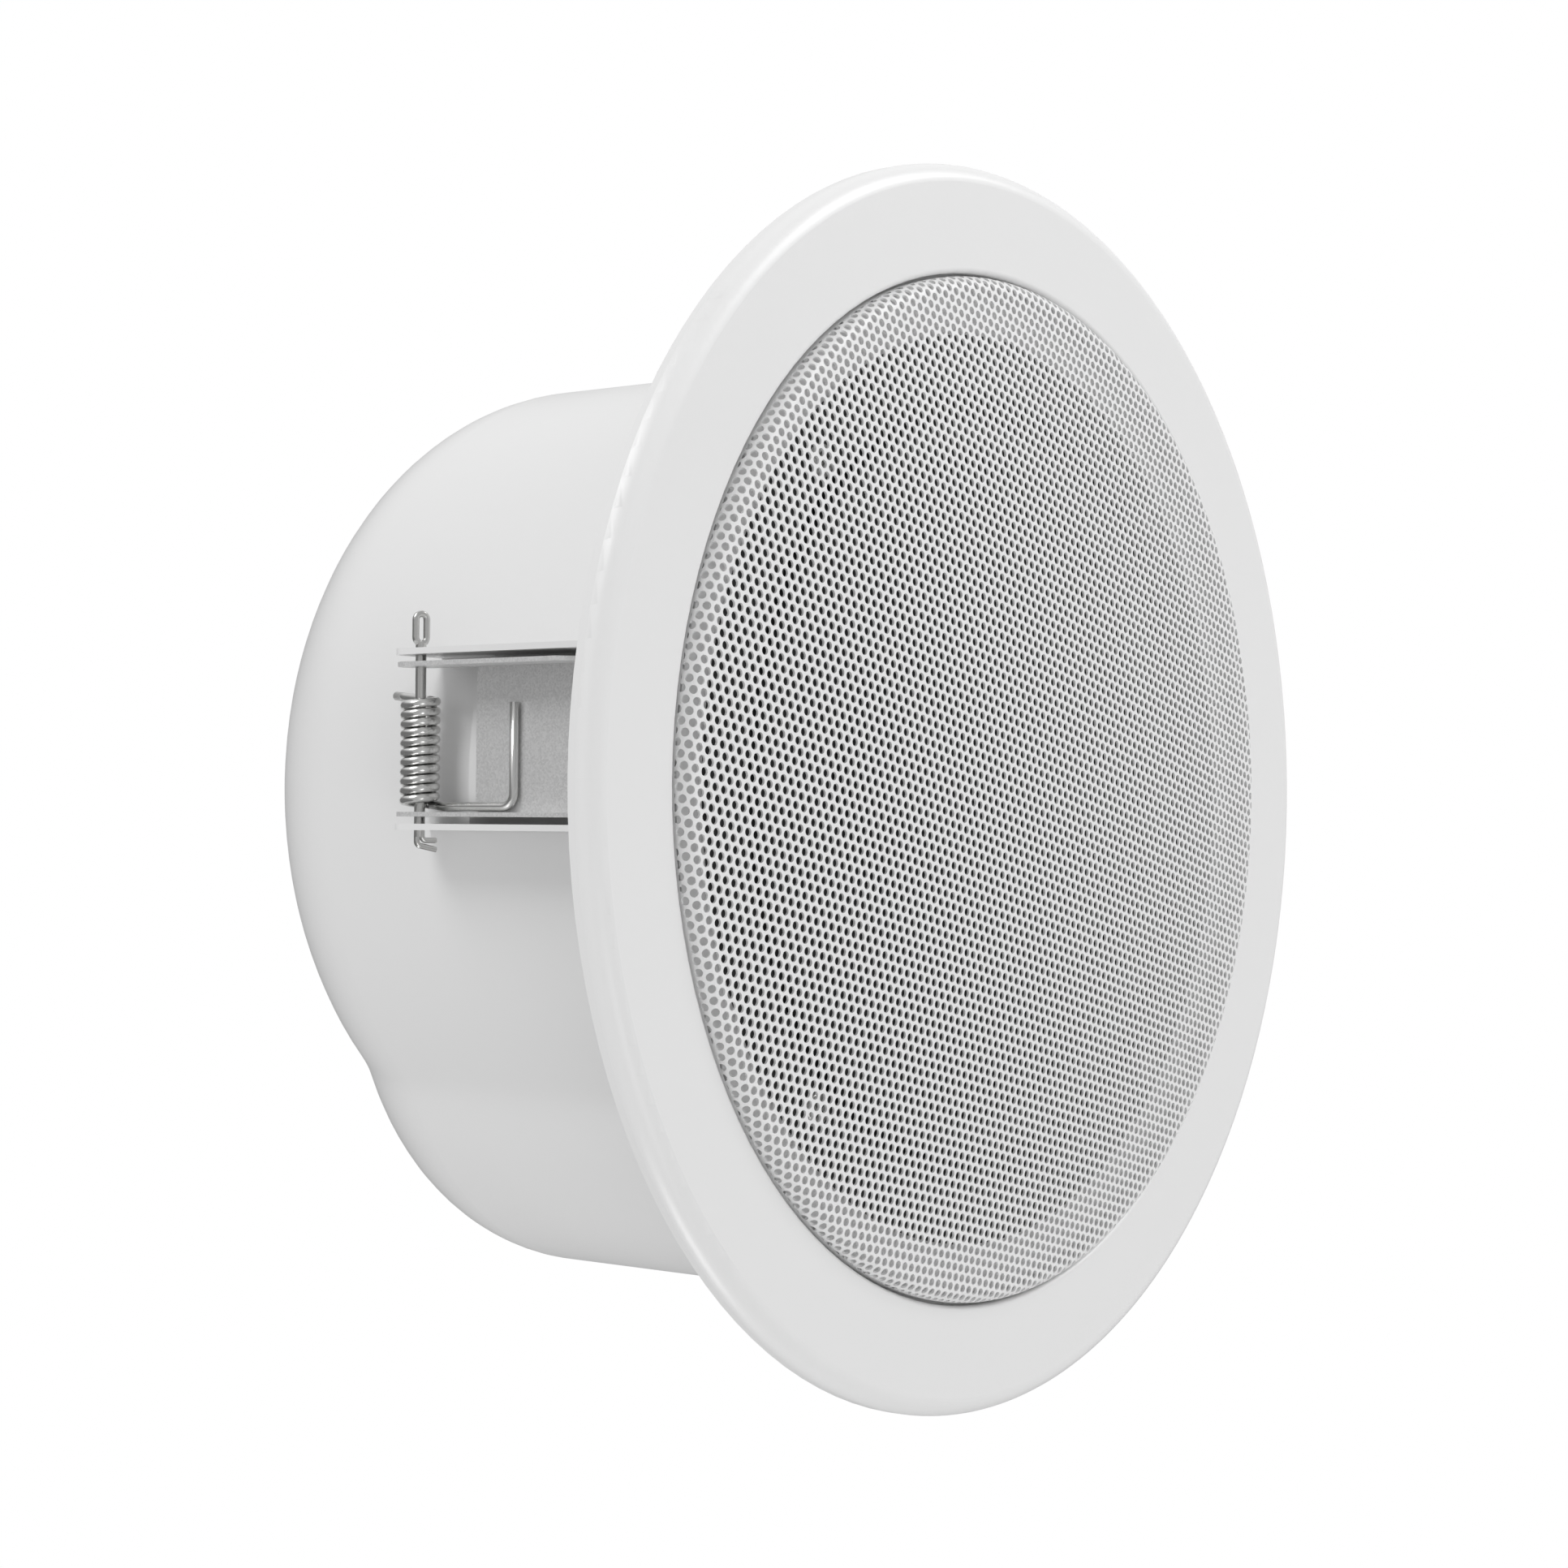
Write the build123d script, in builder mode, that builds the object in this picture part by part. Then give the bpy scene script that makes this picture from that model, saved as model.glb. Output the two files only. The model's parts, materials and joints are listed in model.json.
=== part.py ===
from build123d import *
import os
from math import cos, pi, radians, sin, sqrt, tan

# In ceiling speaker. The origin is the centre of the trim ring's rear face, which lies
# against the ceiling. +Z points up into the ceiling and -Z down into the room.
# The lobe of the can is towards -Y and the two clamps stand at +X and -X.

# Trim ring
ring_face_width = 20.0
ring_depth = 5.0
ring_wall = 1.6
ring_edge_round = 3.5
opening_margin = 13.5
lip_round = 1.0
shoulder_width = 6.5
seat_wall = 1.6
seat_hole_inset = 6.5

# Grille
grille_sheet = 0.7
grille_gap = 0.6
grille_seat_gap = 0.3
grille_sphere_r = 885.0
grille_crown = 7.0
grille_edge_round = 2.5
grille_hole_d = 9.6
grille_pitch = 16.2
grille_margin = 3.0

# Back can
can_r = 81.5
can_depth = 116.0
can_sheet = 0.8
can_rear_round = 26.0
lobe_r = 63.0
lobe_proud = 14.5
crease_round = 14.0
lip_hole_gap = 0.4

# Screws that hold the driver, the ring and the can together
screw_circle_inset = 3.2
screw_count = 4
screw_d = 3.5
screw_clearance = 0.4
screw_head_d = 6.4
screw_head_h = 2.0
screw_length = 8.0
screw_recess = 1.0
screw_recess_length = 3.6
screw_recess_width = 0.8
thread_gap = 0.1

# Driver
frame_sheet = 1.2
frame_edge_gap = 11.0
frame_step_gap = 0.5
ledge_z = 2.5
ledge_width = 6.3
spider_ledge_z = 25.5
spider_ledge_r = 37.5
spider_ledge_width = 5.0
frame_floor_z = 33.0
frame_floor_hole_r = 16.5
window_inner_margin = 4.5
window_outer_margin = 4.0
window_angle = 27.0
window_count = 8
window_round = 2.5
magnet_r = 42.5
magnet_hole_r = 18.0
magnet_height = 15.0
magnet_chamfer = 1.0
top_plate_r = 36.5
top_plate_hole_r = 14.2
top_plate_height = 5.0
pole_r = 11.9
pole_vent_r = 4.0
back_plate_r = 38.0
back_plate_height = 5.0
former_r = 12.6
former_wall = 0.3
former_front_z = 21.0
former_rear_z = 41.0
winding_wall = 0.6
winding_length = 8.0
cone_flat = 3.2
cone_paper = 0.6
cone_neck_z = 22.0
cone_neck_gap = 0.15
cap_r = 21.0
cap_rise = 6.0
cap_paper = 0.4
surround_sheet = 0.5
surround_edge_gap = 0.3
surround_foot = 3.6
surround_roll_r = 4.6
spider_sheet = 0.4
spider_waves = 4
spider_wave_height = 1.1
spider_foot = 3.6
gasket_height = 1.4
gasket_width = 2.6

# Terminals of the driver
strip_length = 15.0
strip_width = 18.0
strip_board = 1.6
tab_width = 4.8
tab_sheet = 0.8
tab_length = 9.0
tab_spacing = 9.0
strip_gap = 0.4

# Clamps: each has a bracket, a lever, a torsion spring and a split pin
clamp_centre_y = 7.5
bracket_sheet = 1.1
bracket_gap = 0.1
ear_gap_width = 29.5
ear_front_z = 2.0
ear_rear_z = 63.0
ear_corner_round = 3.0
web_rear_z = 52.0
hinge_reach = 6.0
hinge_z = 59.2
pin_d = 1.9
pin_ear_gap = 0.05
pin_lever_gap = 0.08
lever_sheet = 0.8
lever_width = 27.0
lever_web_gap = 0.3
lever_front_z = 4.0
lever_rear_z = 49.2
lever_end_r = 4.0
arm_full_z = 24.0
arm_foot_z = 16.0
lever_corner_round = 2.5
spring_wire_d = 1.6
spring_mean_r = 2.75
spring_pitch = 1.66
spring_turns = 11
spring_base_y = -3.9
long_leg_z = 39.4
long_leg_rise = 18.0
long_leg_round = 2.4
long_leg_kink = 3.0
short_leg_angle = 15.0
leg_rest_gap = 0.15
pin_eye_height = 6.4
pin_eye_width = 3.3
pin_wire_d = 1.2
pin_above_ear = 1.0
pin_below_ear = 1.2
pin_tail_reach = 3.2
pin_tail_drop = 0.8
pin_tail_round = 0.8
pin_turn = -20.0

# Line transformer, inside the lobe
core_width = 41.0
core_depth = 15.0
core_height = 34.0
core_window_width = 8.0
core_window_height = 21.0
core_tongue = 13.6
bobbin_gap = 0.3
bobbin_wall = 1.0
winding_proud = 5.5
winding_gap = 0.2
foot_margin = 0.3
yoke_sheet = 1.0
yoke_foot = 10.0
yoke_width = 10.0
yoke_screw_spacing = 51.0
yoke_gap = 0.05
yoke_screw_d = 4.0
yoke_screw_head_d = 7.0
yoke_screw_head_h = 2.2
yoke_screw_length = 8.0
yoke_nut_flats = 7.0
yoke_nut_h = 3.0

# Terminal block and cable gland, on the rear wall
block_length = 30.0
block_width = 18.0
block_height = 13.0
block_pole_pitch = 9.5
insert_d = 6.0
insert_bore_d = 3.6
insert_length = 16.0
insert_gap = 0.05
block_screw_d = 3.0
block_screw_y = 4.5
block_screw_sunk = 1.0
block_x = 0.0
block_to_grommet = 26.0
block_fix_d = 3.0
block_fix_spacing = 9.5
block_fix_head_d = 5.6
block_fix_head_h = 1.8
block_fix_length = 8.0
block_round = 1.2
grommet_margin = 1.0
grommet_hole_r = 8.0
grommet_bore_r = 4.5
grommet_flange = 2.5
grommet_lip = 2.0
grommet_gap = 0.1
grommet_round = 0.8

os.makedirs("parts", exist_ok=True)

# Levels and radii that follow from the sizes above
opening_r = can_r + opening_margin
ring_r = opening_r + ring_face_width
shoulder_r = opening_r + shoulder_width
seat_hole_r = can_r - seat_hole_inset
screw_circle_r = can_r - screw_circle_inset
frame_r = opening_r - frame_edge_gap
hinge_x = can_r + hinge_reach
ear_outer_x = hinge_x + lever_end_r
spider_ledge_inner_r = spider_ledge_r - spider_ledge_width
flat_r = can_r - can_rear_round
lobe_offset = can_r + lobe_proud - lobe_r
grommet_y = flat_r - grommet_hole_r - grommet_flange - grommet_margin
block_y = grommet_y - block_to_grommet
foot_x = core_width / 2 + yoke_gap + yoke_foot
transformer_y = yoke_width / 2 + foot_margin - sqrt(flat_r**2 - foot_x**2)
ring_front_z = -ring_depth
seat_front_z = -seat_wall
frame_front_z = seat_front_z - frame_sheet
grille_r = opening_r - grille_gap
grille_apex_z = ring_front_z - grille_crown
lip_hole_r = seat_hole_r + lip_hole_gap
screw_hole_r = screw_d / 2 + screw_clearance / 2
top_plate_z = frame_floor_z + frame_sheet
magnet_z = top_plate_z + top_plate_height
back_plate_z = magnet_z + magnet_height
former_outer_r = former_r + former_wall


def drum_outline(shrink):
    """The can's outline in plan: a circle, a lobe and two hollow creases, drawn smaller by shrink."""
    body_r = can_r - shrink
    bulge_r = lobe_r - shrink
    hollow_r = crease_round + shrink
    body_reach = body_r + hollow_r
    bulge_reach = bulge_r + hollow_r
    hollow_y = (bulge_reach**2 - body_reach**2 - lobe_offset**2) / (2 * lobe_offset)
    hollow = Vector(sqrt(body_reach**2 - hollow_y**2), hollow_y)
    lobe_centre = Vector(0, -lobe_offset)
    body_end = hollow * (body_r / body_reach)
    bulge_end = lobe_centre + (hollow - lobe_centre) * (bulge_r / bulge_reach)
    crease = hollow + ((body_end + bulge_end) / 2 - hollow).normalized() * hollow_r
    with BuildSketch() as outline:
        with BuildLine():
            ThreePointArc(body_end, (0, body_r), (-body_end.X, body_end.Y))
            ThreePointArc((-body_end.X, body_end.Y), (-crease.X, crease.Y), (-bulge_end.X, bulge_end.Y))
            ThreePointArc((-bulge_end.X, bulge_end.Y), (0, -lobe_offset - bulge_r), bulge_end)
            ThreePointArc(bulge_end, crease, body_end)
        make_face()
    return outline.sketch


def save(builder, name):
    """Label a finished piece and write it."""
    builder.part.label = name
    export_step(builder.part, f"parts/{name}.step")


# Trim ring: a face plate with a turned-back rim, a shoulder and a seat for the driver
with BuildPart() as flange_ring:
    with BuildSketch(Plane.XZ):
        with BuildLine():
            FilletPolyline(
                (ring_r, 0),
                (ring_r, ring_front_z),
                (opening_r, ring_front_z),
                (opening_r, seat_front_z),
                (seat_hole_r, seat_front_z),
                (seat_hole_r, 0),
                (shoulder_r, 0),
                (shoulder_r, ring_front_z + ring_wall),
                (ring_r - ring_wall, ring_front_z + ring_wall),
                (ring_r - ring_wall, 0),
                radius=[0, ring_edge_round, lip_round, 0, 0, 0, 0, 0, ring_edge_round - ring_wall, 0],
                close=True,
            )
        make_face()
    revolve(axis=Axis.Z)
    with BuildSketch(Plane.XY.offset(seat_front_z)):
        with PolarLocations(screw_circle_r, screw_count, start_angle=45):
            Circle(screw_hole_r)
    extrude(amount=seat_wall, mode=Mode.SUBTRACT)
save(flange_ring, "flange_ring")


# Grille: one domed sheet with a rounded edge and a skirt that stands on the ring's seat
grille_flat_r = grille_r - grille_edge_round
grille_edge_z = grille_apex_z + grille_sphere_r - sqrt(grille_sphere_r**2 - grille_flat_r**2)
skirt_end_z = seat_front_z - grille_seat_gap
with BuildPart() as grille:
    with BuildSketch(Plane.XZ):
        with BuildLine():
            crown = RadiusArc(
                (0, grille_apex_z),
                (grille_flat_r, grille_edge_z),
                -grille_sphere_r,
            )
            round_end = (grille_r, grille_edge_z + grille_edge_round)
            edge_round = TangentArc(crown @ 1, round_end, tangent=crown % 1)
            Line(edge_round @ 1, (grille_r, skirt_end_z))
            offset(amount=grille_sheet, side=Side.LEFT, closed=True)
        make_face()
    revolve(axis=Axis.Z)
    row_height = grille_pitch * sqrt(3) / 2
    hole_limit = grille_flat_r - grille_margin - grille_hole_d / 2
    row_limit = int(hole_limit / row_height)
    with BuildSketch(Plane.XY.offset(grille_apex_z - 1)):
        for row in range(-row_limit, row_limit + 1):
            shift = grille_pitch / 2 if row % 2 else 0
            for column in range(-row_limit - 1, row_limit + 2):
                x = column * grille_pitch + shift
                y = row * row_height
                if sqrt(x * x + y * y) <= hole_limit:
                    with Locations((x, y)):
                        Circle(grille_hole_d / 2)
    extrude(amount=grille_crown + 2, mode=Mode.SUBTRACT)
save(grille, "grille")


# Back can: a drawn drum with a lobe, and a lip turned in at its mouth
with BuildPart() as back_can:
    with BuildSketch(Plane.XY):
        add(drum_outline(0))
    extrude(amount=can_depth)
    fillet(back_can.faces().sort_by(Axis.Z)[-1].edges(), can_rear_round)
with BuildPart() as can_hollow:
    with BuildSketch(Plane.XY.offset(can_sheet)):
        add(drum_outline(can_sheet))
    extrude(amount=can_depth - 2 * can_sheet)
    fillet(can_hollow.faces().sort_by(Axis.Z)[-1].edges(), can_rear_round - can_sheet)
with back_can:
    add(can_hollow.part, mode=Mode.SUBTRACT)
    with BuildSketch(Plane.XY):
        Circle(lip_hole_r)
        with PolarLocations(screw_circle_r, screw_count, start_angle=45):
            Circle(screw_d / 2 + thread_gap)
    extrude(amount=2 * can_sheet, mode=Mode.SUBTRACT)
    with BuildSketch(Plane.XY.offset(can_depth - 2 * can_sheet)):
        with Locations((0, grommet_y)):
            Circle(grommet_hole_r)
        with Locations((0, transformer_y)):
            with GridLocations(yoke_screw_spacing, 0, 2, 1):
                Circle(yoke_screw_d / 2 + thread_gap)
        with Locations((block_x, block_y)):
            with GridLocations(block_fix_spacing, 0, 2, 1):
                Circle(block_fix_d / 2 + thread_gap)
    extrude(amount=3 * can_sheet, mode=Mode.SUBTRACT)
save(back_can, "back_can")


# Driver frame: pressed sheet with a mounting flange, two ledges, a floor and windows
step_r = seat_hole_r - frame_step_gap - frame_sheet
ledge_inner_r = step_r - ledge_width
window_outer_r = ledge_inner_r - window_outer_margin
window_inner_r = spider_ledge_r + window_inner_margin
window_slope = tan(radians(window_angle / 2))
with BuildPart() as driver_frame:
    with BuildSketch(Plane.XZ):
        with BuildLine():
            frame_line = Polyline(
                (frame_r, frame_front_z),
                (step_r, frame_front_z),
                (step_r, ledge_z),
                (ledge_inner_r, ledge_z),
                (spider_ledge_r, spider_ledge_z),
                (spider_ledge_inner_r, spider_ledge_z),
                (spider_ledge_inner_r, frame_floor_z),
                (frame_floor_hole_r, frame_floor_z),
            )
            offset(frame_line, amount=frame_sheet, side=Side.RIGHT, kind=Kind.INTERSECTION)
        make_face()
    revolve(axis=Axis.Z)
    with BuildSketch(Plane.XY.offset(ledge_z + 2 * frame_sheet)):
        with PolarLocations(0, window_count, start_angle=360 / window_count / 2):
            with BuildLine():
                FilletPolyline(
                    (window_inner_r, window_inner_r * window_slope),
                    (window_outer_r, window_outer_r * window_slope),
                    (window_outer_r, -window_outer_r * window_slope),
                    (window_inner_r, -window_inner_r * window_slope),
                    radius=window_round,
                    close=True,
                )
            make_face()
    extrude(amount=spider_ledge_z - ledge_z, mode=Mode.SUBTRACT)
    with BuildSketch(Plane.XY.offset(frame_front_z)):
        with PolarLocations(screw_circle_r, screw_count, start_angle=45):
            Circle(screw_hole_r)
    extrude(amount=frame_sheet, mode=Mode.SUBTRACT)
save(driver_frame, "driver_frame")


# Surround: a half roll of rubber between two feet
surround_r = step_r - surround_edge_gap
roll_outer_r = surround_r - surround_foot
roll_inner_r = roll_outer_r - 2 * surround_roll_r
surround_z = ledge_z - surround_sheet
with BuildPart() as surround:
    with BuildSketch(Plane.XZ):
        with BuildLine():
            Line((surround_r, surround_z), (roll_outer_r, surround_z))
            ThreePointArc(
                (roll_outer_r, surround_z),
                (roll_outer_r - surround_roll_r, surround_z - surround_roll_r),
                (roll_inner_r, surround_z),
            )
            Line((roll_inner_r, surround_z), (roll_inner_r - surround_foot, surround_z))
            offset(amount=surround_sheet, side=Side.RIGHT)
        make_face()
    revolve(axis=Axis.Z)
save(surround, "surround")


# Gasket: a card ring that holds down the surround's outer foot
with BuildPart() as driver_gasket:
    with BuildSketch(Plane.XY.offset(surround_z - gasket_height)):
        Circle(surround_r)
        Circle(surround_r - gasket_width, mode=Mode.SUBTRACT)
    extrude(amount=gasket_height)
save(driver_gasket, "driver_gasket")


# Cone: straight-sided paper with a flat rim under the surround's inner foot
cone_top_r = roll_inner_r - cone_flat
neck_r = former_outer_r + cone_neck_gap
with BuildPart() as cone:
    with BuildSketch(Plane.XZ):
        with BuildLine():
            cone_line = Polyline((roll_inner_r, ledge_z), (cone_top_r, ledge_z), (neck_r, cone_neck_z))
            offset(cone_line, amount=cone_paper, side=Side.RIGHT)
        make_face()
    revolve(axis=Axis.Z)
save(cone, "cone")


# Dust cap: a shallow dome glued on the cone over the voice coil
cone_slope = (cone_neck_z - ledge_z) / (cone_top_r - neck_r)
cap_z = ledge_z + (cone_top_r - cap_r) * cone_slope
with BuildPart() as dust_cap:
    with BuildSketch(Plane.XZ):
        with BuildLine():
            cap_line = TangentArc((0, cap_z - cap_rise), (cap_r, cap_z), tangent=(1, 0))
            offset(cap_line, amount=cap_paper, side=Side.RIGHT)
        make_face()
    revolve(axis=Axis.Z)
save(dust_cap, "dust_cap")


# Spider: a corrugated cloth disc that centres the voice coil
spider_r = spider_ledge_r - surround_edge_gap
spider_z = spider_ledge_z - spider_sheet
spider_wave_r = spider_r - spider_foot
spider_neck_r = neck_r + spider_foot
half_wave = (spider_wave_r - spider_neck_r) / (2 * spider_waves)
with BuildPart() as spider:
    with BuildSketch(Plane.XZ):
        with BuildLine():
            Line((spider_r, spider_z), (spider_wave_r, spider_z))
            for i in range(2 * spider_waves):
                start = spider_wave_r - i * half_wave
                rise = -spider_wave_height if i % 2 == 0 else spider_wave_height
                ThreePointArc(
                    (start, spider_z),
                    (start - half_wave / 2, spider_z + rise),
                    (start - half_wave, spider_z),
                )
            Line((spider_neck_r, spider_z), (neck_r, spider_z))
            offset(amount=spider_sheet, side=Side.RIGHT)
        make_face()
    revolve(axis=Axis.Z)
save(spider, "spider")


# Voice coil: a thin former and its winding, centred on the top plate
with BuildPart() as coil_former:
    with BuildSketch(Plane.XY.offset(former_front_z)):
        Circle(former_outer_r)
        Circle(former_r, mode=Mode.SUBTRACT)
    extrude(amount=former_rear_z - former_front_z)
save(coil_former, "coil_former")

winding_z = top_plate_z + (top_plate_height - winding_length) / 2
with BuildPart() as coil_winding:
    with BuildSketch(Plane.XY.offset(winding_z)):
        Circle(former_outer_r + winding_wall)
        Circle(former_outer_r, mode=Mode.SUBTRACT)
    extrude(amount=winding_length)
save(coil_winding, "coil_winding")


# Magnet system: a steel washer, a ferrite ring and a back plate with its pole
with BuildPart() as top_plate:
    with BuildSketch(Plane.XY.offset(top_plate_z)):
        Circle(top_plate_r)
        Circle(top_plate_hole_r, mode=Mode.SUBTRACT)
    extrude(amount=top_plate_height)
save(top_plate, "top_plate")

with BuildPart() as magnet:
    with BuildSketch(Plane.XY.offset(magnet_z)):
        Circle(magnet_r)
        Circle(magnet_hole_r, mode=Mode.SUBTRACT)
    extrude(amount=magnet_height)
    chamfer(magnet.edges().filter_by(GeomType.CIRCLE).group_by(SortBy.RADIUS)[-1], magnet_chamfer)
save(magnet, "magnet")

with BuildPart() as back_plate:
    with BuildSketch(Plane.XY.offset(back_plate_z)):
        Circle(back_plate_r)
    extrude(amount=back_plate_height)
    with BuildSketch(Plane.XY.offset(top_plate_z)):
        Circle(pole_r)
    extrude(amount=back_plate_z - top_plate_z)
    with BuildSketch(Plane.XY.offset(top_plate_z)):
        Circle(pole_vent_r)
    extrude(amount=back_plate_z + back_plate_height - top_plate_z, mode=Mode.SUBTRACT)
save(back_plate, "back_plate_with_pole")


# Terminal strip of the driver, on the rear of the spider ledge
strip_z = spider_ledge_z + frame_sheet
strip_y = spider_ledge_inner_r + frame_sheet + strip_gap
with BuildPart() as terminal_strip:
    with BuildSketch(Plane.XY.offset(strip_z)):
        with Locations((0, strip_y)):
            Rectangle(strip_width, strip_length, align=(Align.CENTER, Align.MIN))
    extrude(amount=strip_board)
save(terminal_strip, "terminal_strip")

with BuildPart() as terminal_tabs:
    with BuildSketch(Plane.XY.offset(strip_z + strip_board)):
        with Locations((0, strip_y + strip_length)):
            with GridLocations(tab_spacing, 0, 2, 1):
                Rectangle(tab_width, tab_length)
    extrude(amount=tab_sheet)
save(terminal_tabs, "terminal_tabs")


# Driver screws: pan heads with a cross recess, screwed into the can's lip
with BuildPart() as driver_screws:
    with BuildSketch(Plane.XY.offset(frame_front_z - screw_head_h)):
        with PolarLocations(screw_circle_r, screw_count, start_angle=45):
            Circle(screw_head_d / 2)
    extrude(amount=screw_head_h)
    fillet(driver_screws.edges().group_by(Axis.Z)[0], screw_head_h / 2)
    with BuildSketch(Plane.XY.offset(frame_front_z)):
        with PolarLocations(screw_circle_r, screw_count, start_angle=45):
            Circle(screw_d / 2)
    extrude(amount=screw_length)
    with BuildSketch(Plane.XY.offset(frame_front_z - screw_head_h)):
        with PolarLocations(screw_circle_r, screw_count, start_angle=45):
            Rectangle(screw_recess_length, screw_recess_width)
            Rectangle(screw_recess_width, screw_recess_length)
    extrude(amount=screw_recess, mode=Mode.SUBTRACT)
save(driver_screws, "driver_screws")


# Right clamp bracket: a web spot-welded round the can and two flat ears
web_r = can_r + bracket_gap
web_outer_r = web_r + bracket_sheet
bracket_width = ear_gap_width + 2 * bracket_sheet
with BuildPart() as bracket_right:
    with BuildSketch(Plane.XY.offset(ear_front_z)):
        Circle(web_outer_r)
        with Locations((0, clamp_centre_y)):
            Rectangle(can_r + ear_outer_x, bracket_width, align=(Align.MIN, Align.CENTER), mode=Mode.INTERSECT)
        Circle(web_r, mode=Mode.SUBTRACT)
    extrude(amount=web_rear_z - ear_front_z)
    with BuildSketch(Plane.XY.offset(ear_front_z)):
        with Locations((0, clamp_centre_y)):
            with GridLocations(0, ear_gap_width + bracket_sheet, 1, 2):
                Rectangle(ear_outer_x, bracket_sheet, align=(Align.MIN, Align.CENTER))
        Circle(web_r, mode=Mode.SUBTRACT)
    extrude(amount=ear_rear_z - ear_front_z)
    fillet(
        bracket_right.edges().filter_by(Axis.Y).group_by(Axis.X)[-1].group_by(Axis.Z)[-1],
        ear_corner_round,
    )
    with Locations(Location((hinge_x, clamp_centre_y, hinge_z), (90, 0, 0))):
        Cylinder(pin_d / 2 + pin_ear_gap, 2 * bracket_width, mode=Mode.SUBTRACT)
save(bracket_right, "bracket_right")


# Right clamp lever: a base plate that lies along the web and two arms on the pin
lever_x = web_outer_r + lever_web_gap
lever_outer_y = clamp_centre_y + lever_width / 2
lever_inner_y = clamp_centre_y - lever_width / 2
with BuildPart() as lever_right:
    with BuildSketch(Plane.YZ.offset(lever_x)) as plate_sketch:
        with Locations((clamp_centre_y, lever_front_z)):
            Rectangle(lever_width, lever_rear_z - lever_front_z, align=(Align.CENTER, Align.MIN))
        fillet(plate_sketch.vertices().group_by(Axis.Z)[0], lever_corner_round)
    extrude(amount=lever_sheet)
    for arm_y in (lever_outer_y, lever_inner_y + lever_sheet):
        with BuildSketch(Plane.XZ.offset(-arm_y)):
            with BuildLine():
                Line((lever_x + lever_sheet, arm_foot_z), (lever_x, arm_foot_z))
                Line((lever_x, arm_foot_z), (lever_x, lever_rear_z))
                Line((lever_x, lever_rear_z), (hinge_x - lever_end_r, hinge_z))
                ThreePointArc(
                    (hinge_x - lever_end_r, hinge_z),
                    (hinge_x, hinge_z + lever_end_r),
                    (hinge_x + lever_end_r, hinge_z),
                )
                Line((hinge_x + lever_end_r, hinge_z), (hinge_x + lever_end_r, arm_full_z))
                Line((hinge_x + lever_end_r, arm_full_z), (lever_x + lever_sheet, arm_foot_z))
            make_face()
        extrude(amount=lever_sheet)
    with Locations(Location((hinge_x, clamp_centre_y, hinge_z), (90, 0, 0))):
        Cylinder(pin_d / 2 + pin_lever_gap, 2 * lever_width, mode=Mode.SUBTRACT)
save(lever_right, "lever_right")


# Right torsion spring: a close coil, a long leg on the lever and a short leg on the can
spring_length = spring_turns * spring_pitch
leg_lean = spring_pitch / (2 * pi * spring_mean_r)
leg_x = hinge_x - spring_mean_r
coil_top_y = spring_base_y + spring_length
kink_y = spring_base_y - leg_lean * long_leg_kink
kink_z = hinge_z - long_leg_kink
leg_angle = radians(short_leg_angle)
start_x = hinge_x - spring_mean_r * cos(leg_angle)
start_z = hinge_z - spring_mean_r * sin(leg_angle)
rest_x = sqrt(can_r**2 - (coil_top_y - spring_wire_d) ** 2) + spring_wire_d / 2 + leg_rest_gap
short_leg_length = (start_x - rest_x) / sin(leg_angle)
with BuildPart() as spring_right:
    with BuildLine() as coil:
        turned_coil = Helix(
            spring_pitch,
            spring_length - spring_pitch * short_leg_angle / 360,
            spring_mean_r,
            center=(hinge_x, coil_top_y, hinge_z),
            direction=(0, -1, 0),
            mode=Mode.PRIVATE,
        )
        add(turned_coil.rotate(Axis((hinge_x, 0, hinge_z), (0, 1, 0)), -short_leg_angle))
    with BuildLine() as short_leg:
        leg_end = Vector(
            start_x - short_leg_length * sin(leg_angle),
            coil_top_y + leg_lean * short_leg_length,
            start_z + short_leg_length * cos(leg_angle),
        )
        Line(leg_end, (start_x, coil_top_y, start_z))
    with BuildLine() as long_leg:
        FilletPolyline(
            coil.wires()[0] @ 1,
            (leg_x, kink_y, kink_z),
            (leg_x, kink_y, long_leg_z),
            (leg_x, kink_y + long_leg_rise, long_leg_z),
            radius=long_leg_round,
        )
    for path in (short_leg.wires()[0], coil.wires()[0], long_leg.wires()[0]):
        with BuildSketch(Plane(origin=path @ 0, z_dir=path % 0)):
            Circle(spring_wire_d / 2)
        sweep(path=path, is_frenet=path.length > spring_length * pi)
save(spring_right, "torsion_spring_right")


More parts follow.
